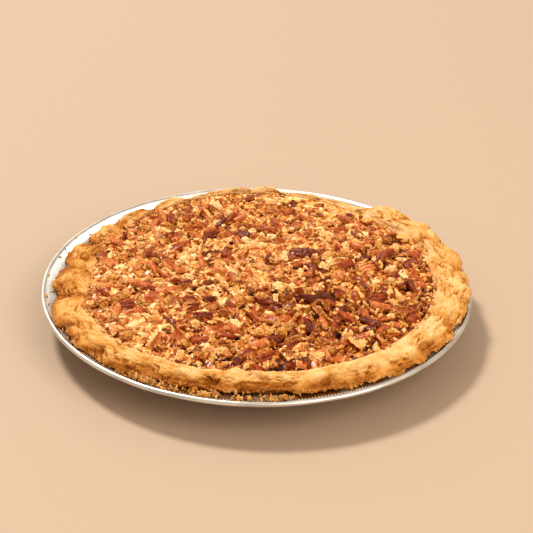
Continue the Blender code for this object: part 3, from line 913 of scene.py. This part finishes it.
def roundBall(subdivisions):
    work = bmesh.new()
    bmesh.ops.create_icosphere(work, subdivisions=subdivisions, radius=1.0)
    directions, triangles = toArrays(work)
    work.free()
    return directions / np.linalg.norm(directions, axis=1, keepdims=True), triangles


def bareAt(angle):
    # at the back right, custard without nuts shows beside the pastry
    return np.exp(-((angle - 1.08) / 0.3) ** 2)


def nutReach(angle):
    # how far out nuts lie: up to the pastry, but short of it at the back
    return rimAt(angle)[2] - 2.4 * np.maximum(np.sin(angle), 0.0) ** 3 - 8.0 * bareAt(angle)


def layOut(name, placed):
    # joins placed shapes, (shape, turn, scale, place, tone) each, into one piece
    points, triangles, slots, tones = [], [], [], []
    count = 0
    for (shape, faces, flesh, grooves), turn, scale, place, tone in placed:
        moved = (shape * scale) @ np.array(turn).T + np.array(place)
        moved[:, 2] -= max(moved[:, 2].max() - pieTop, 0.0)
        # pieces lean in from the pastry, and few stick out over it
        far = np.hypot(moved[:, 0], moved[:, 1])
        limit = nutReach(np.arctan2(moved[:, 1], moved[:, 0]))
        limit = limit + 0.6 + 0.8 * np.maximum(moved[:, 2] - fillingEdge, 0.0)
        moved[:, :2] /= np.maximum(far / limit, 1.0)[:, None]
        points.append(moved)
        triangles.append(faces + count)
        slots.append(flesh)
        # the grooves' painted shade darkens the tone
        tones.append(tone - grooves)
        count += len(shape)
    points = np.concatenate(points)
    triangles = np.concatenate(triangles)
    # syrup climbs the lower part of every piece, and its foot is darkened as painted shade
    above = points[:, 2] - custardLevel(points[:, 0], points[:, 1])
    wander = fractalAt(points, 3.0, 3, 6.6)
    # painted shade towards the right and front: less film and a darker tone
    sideShade = paintedSideShadeAt(points[:, 0], points[:, 1])
    film = 1.0 - smoothstep(-0.2, 2.0, above + 1.6 * wander + 1.6 * sideShade)
    paintedContactShade = 0.8 * (1.0 - smoothstep(-0.7, 0.6, above + 0.8 * wander))
    tone = np.concatenate(tones) - 0.13 * sideShade - 0.1 * smoothstep(40.0, 95.0, points[:, 1])
    mesh = meshFromArrays(name, points, triangles.tolist(),
                          {"tone": tone, "film": film, "paintedContactShade": paintedContactShade},
                          smoothAngle=50, faceSlots=np.concatenate(slots))
    addPiece(mesh, [pecanSkin, pecanFlesh], "filling")


def restingTurn(rng, heading, pitch, anySide):
    # a piece lies with its length near level, back up or on any of its sides
    roll = anyAngle(rng) if anySide else rng.gauss(0, 0.35)
    tilt = Euler((roll, 0, 0)).to_matrix()
    rise = Euler((0, rng.uniform(-pitch, pitch), heading)).to_matrix()
    return rise @ tilt


def spiral(count, margin, rng, jitter):
    # evenly spread places out to the edge of the nuts, each moved a little
    golden = math.pi * (3.0 - math.sqrt(5.0))
    for index in range(count):
        reach = float(nutReach(np.array(golden * index))) - margin
        radius = reach * math.sqrt((index + 0.5) / count)
        yield (radius * math.cos(golden * index) + rng.uniform(-jitter, jitter),
               radius * math.sin(golden * index) + rng.uniform(-jitter, jitter))


def levelAt(x, y):
    # where pieces rest, a little lower beside the pastry
    way = np.arctan2(y, x)
    beside = smoothstep(-9.0, 0.0, math.hypot(x, y) - nutReach(way))
    return float(custardLevel(np.array(x), np.array(y)) - 0.5 * beside)


def planNuts():
    # where every piece lies, so that the custard can rise round it too
    rng = random.Random(61)
    longShapes = [chopKernel(rng, along=30, around=30, lengths=(19.0, 25.0), splitChance=0.5,
                             cellSize=1.8) for _ in range(8)]
    sliverShapes = [chopKernel(rng, along=18, around=16, lengths=(9.0, 17.0), splitChance=1.0,
                               cellSize=2.4) for _ in range(nuts["sliverShapes"])]
    fine, coarse = roundBall(3), roundBall(2)
    lumpShapes = [brokenLump(rng, fine, rng.choice((0, 0, 1, 2, 3, 5))) for _ in range(60)]
    bitShapes = [brokenLump(rng, coarse, rng.choice((0, 0, 1, 2, 6))) for _ in range(60)]

    plan = {"pecanHalves": [], "pecanSlivers": [], "pecanLumps": [], "pecanBits": []}

    def lay(kind, x, y, shape, scale, turn, lift, tone):
        plan[kind].append((shape, turn, scale, (x, y, levelAt(x, y) + lift), tone))

    def liftFor(x, y, sunk, low):
        # a piece under a large one is sunk, any other stands up to 2 mm high
        nearest = min(math.hypot(x - kernel[0], y - kernel[1]) for kernel in largeKernels)
        return sunk if nearest < 6.0 else rng.uniform(low, 2.0)

    for x, y, length, heading in largeKernels:
        shape = rng.choice(longShapes)
        size = np.ptp(shape[0], axis=0)
        scale = length / size[0]
        lay("pecanHalves", x, y, shape, scale,
            restingTurn(rng, math.radians(heading), 0.15, False),
            0.3 * size[2] * scale + 0.5, rng.uniform(0.1, 0.6))
    for x, y in spiral(nuts["slivers"], 2.5, rng, 3.0):
        lay("pecanSlivers", x, y, rng.choice(sliverShapes), rng.uniform(0.4, 0.78),
            restingTurn(rng, anyAngle(rng), 0.4, rng.random() < 0.35),
            liftFor(x, y, -1.6, -0.2), rng.betavariate(2, 2))
    for x, y in spiral(nuts["lumps"], 2.5, rng, 2.6):
        lay("pecanLumps", x, y, rng.choice(lumpShapes), rng.uniform(1.8, 4.3),
            restingTurn(rng, anyAngle(rng), 0.6, True),
            liftFor(x, y, -1.4, -0.4), rng.betavariate(2, 1.6))
    for x, y in spiral(nuts["bits"], 0.8, rng, 2.5):
        lay("pecanBits", x, y, rng.choice(bitShapes), 0.9 + 1.2 * rng.random() ** 1.5,
            restingTurn(rng, anyAngle(rng), 0.9, True),
            rng.uniform(0.3, 2.4), rng.betavariate(2, 1.6))
    # more bits where the filling meets the pastry, some stuck to its slope
    for _ in range(nuts["seamBits"]):
        way = anyAngle(rng)
        if rng.random() < 1.3 * bareAt(way):
            continue
        past = rng.uniform(-3.5, 1.6)
        radius = float(rimAt(np.array(way))[2]) + past
        x, y = radius * math.cos(way), radius * math.sin(way)
        turn = restingTurn(rng, anyAngle(rng), 0.9, True)
        lift = rng.uniform(0.0, 0.8) + 0.9 * max(past, 0.0)
        lay("pecanBits", x, y, rng.choice(bitShapes), rng.uniform(0.8, 1.9), turn, lift,
            rng.betavariate(2, 2))
    return plan


nutPlan = planNuts()
for nutKind, nutPlaces in nutPlan.items():
    layOut(nutKind, nutPlaces)
print("pecans")


def makeCustard():
    cells = filling["cells"]
    line = np.linspace(-1, 1, cells + 1)
    a, b = np.meshgrid(line, line, indexing="ij")
    # a square grid drawn out to a disc, so that its cells stay about equal
    wide = np.abs(a) > np.abs(b)
    longer = np.where(wide, a, b)
    shorter = np.where(wide, b, a)
    angle = math.pi / 4 * shorter / np.where(longer == 0, 1, longer)
    x = longer * np.where(wide, np.cos(angle), np.sin(angle))
    y = longer * np.where(wide, np.sin(angle), np.cos(angle))
    edge = rimAt(np.arctan2(y, x))[2].ravel()
    x, y = x.ravel() * edge, y.ravel() * edge
    flat = np.stack([x, y, custardLevel(x, y)], axis=1)
    far = np.hypot(x, y)
    inside = 1.0 - smoothstep(edge - 2.0, edge, far)
    lumps = fractalAt(flat, 6.5, 3, 2.9)
    froth = fractalAt(flat, 1.7, 3, 8.3)
    risen = np.zeros(len(flat))
    for kind, reach in (("pecanHalves", 4.6), ("pecanSlivers", 4.4), ("pecanLumps", 1.3)):
        for _, _, scale, place, _ in nutPlan[kind]:
            away = np.hypot(x - place[0], y - place[1])
            risen = np.maximum(risen, np.exp(-(away / (reach * scale)) ** 2))
    flat[:, 2] += (filling["lumps"] * lumps + filling["froth"] * froth) * inside
    flat[:, 2] += filling["creep"] * (risen - 0.3) * inside
    # painted shade in a ring beside each piece, where it shades the custard
    paintedContactShade = (4.0 * risen * (1.0 - risen)) ** 3
    sideShade = paintedSideShadeAt(x, y)
    # syrup beside the pastry is darker, but paler where it lies bare at the back right
    bare = bareAt(np.arctan2(y, x))
    beside = smoothstep(edge - 9.0, edge - 3.0, far)
    # low spots, the rings beside pieces and the right and front are darker as painted shade
    hollow = (0.24 - 0.26 * lumps - 0.16 * froth + (0.18 + 0.16 * sideShade) * paintedContactShade
              + 0.1 * sideShade + (0.12 - 0.18 * bare) * beside)
    rng = random.Random(53)
    for _ in range(filling["bubbles"]):
        reach = (fillingRadius - 3.0) * math.sqrt(rng.random())
        way = anyAngle(rng)
        size = 0.5 + 1.2 * rng.random() ** 2
        away = np.hypot(x - reach * math.cos(way), y - reach * math.sin(way))
        pit = np.exp(-(away / size) ** 4)
        flat[:, 2] -= pit * size * 1.3
        # painted shade inside each burst bubble
        hollow += pit * 0.8
    # the sides and underside, which lie in the pastry
    side = cells + 1
    loop = [i * side for i in range(side)] + [cells * side + j for j in range(1, side)]
    loop += [i * side + cells for i in range(cells - 1, -1, -1)]
    loop += list(range(cells - 1, 0, -1))
    faces = []
    for i in range(cells):
        faces += [(i * side + j, (i + 1) * side + j, (i + 1) * side + j + 1, i * side + j + 1)
                  for j in range(cells)]
    rimAngle = np.arctan2(y[loop], x[loop])
    points = [flat]
    previous = loop
    count = len(flat)
    bottom = case["floor"] + case["thickness"] + gap
    for radius, height in ((fillingRadius + 1.2 - gap, fillingEdge - 4.7),
                           (fillingRadius - 10.5 - gap, bottom + 1.1),
                           (fillingRadius - 13.5 - gap, bottom)):
        points.append(roundAxis(radius, rimAngle, np.full(len(loop), height)))
        ring = list(range(count, count + len(loop)))
        faces += [(previous[k], ring[k], ring[(k + 1) % len(loop)], previous[(k + 1) % len(loop)])
                  for k in range(len(loop))]
        previous = ring
        count += len(loop)
    points.append(np.array([[0.0, 0.0, bottom]]))
    faces += [(previous[k], count, previous[(k + 1) % len(loop)]) for k in range(len(loop))]
    points = np.concatenate(points)
    hollow = np.concatenate([hollow, np.full(len(points) - len(hollow), 0.4)])
    mesh = meshFromArrays("custard", points, faces, {"hollow": hollow})
    addPiece(mesh, [custard], "filling")


makeCustard()
print("custard")


# Crumbs that fell on the tin's rim

crumbs = {
    "count": 540,
    "heaps": 34,         # most lie in small heaps
    "smallest": 0.5,
    "largest": 2.6,
}


def makeCrumbs():
    rng = random.Random(83)
    base, triangles = roundBall(2)
    # heaps, in degrees round and mm in from the edge: most at the front, left of the middle
    heaps = [(rng.triangular(208, 288, 258), rng.uniform(3.0, 6.4))
             for _ in range(crumbs["heaps"])]
    points, faces, browningAndShade = [], [], []
    for number in range(crumbs["count"]):
        if rng.random() < 0.85:
            turn, inset = rng.choice(heaps)
            turn += rng.gauss(0, 1.6)
            inset = max(inset + rng.gauss(0, 1.0), 2.9)
        else:
            turn, inset = rng.uniform(150, 380), rng.uniform(2.9, 10.0)
        turn = math.radians(turn)
        radius = tinRadius - inset
        size = crumbs["smallest"] + (crumbs["largest"] - crumbs["smallest"]) * rng.random() ** 1.8
        stretch = np.array([rng.uniform(0.8, 1.6), rng.uniform(0.5, 1.1), rng.uniform(0.25, 0.6)])
        rough = np.array([noise.noise(Vector(p) * 1.8 + Vector((number, 0, 0))) for p in base])
        turned = np.array(Euler([rng.uniform(0, 6.28) for _ in range(3)]).to_matrix())
        shape = (base * (1.0 + 1.1 * rough[:, None]) * stretch * size / 2) @ turned.T
        height = rimHeight + 0.75 - shape[:, 2].min()
        points.append(shape + roundAxis(radius, turn, height))
        faces.append(triangles + number * len(base))
        browningAndShade.append(np.full(len(base), 0.32 + 0.4 * rng.random()))
    browningAndShade = np.concatenate(browningAndShade)
    mesh = meshFromArrays("crumbs", np.concatenate(points), np.concatenate(faces).tolist(),
                          {"browningAndShade": browningAndShade, "syrup": browningAndShade * 0})
    addPiece(mesh, [pastry])


makeCrumbs()
print("crumbs")
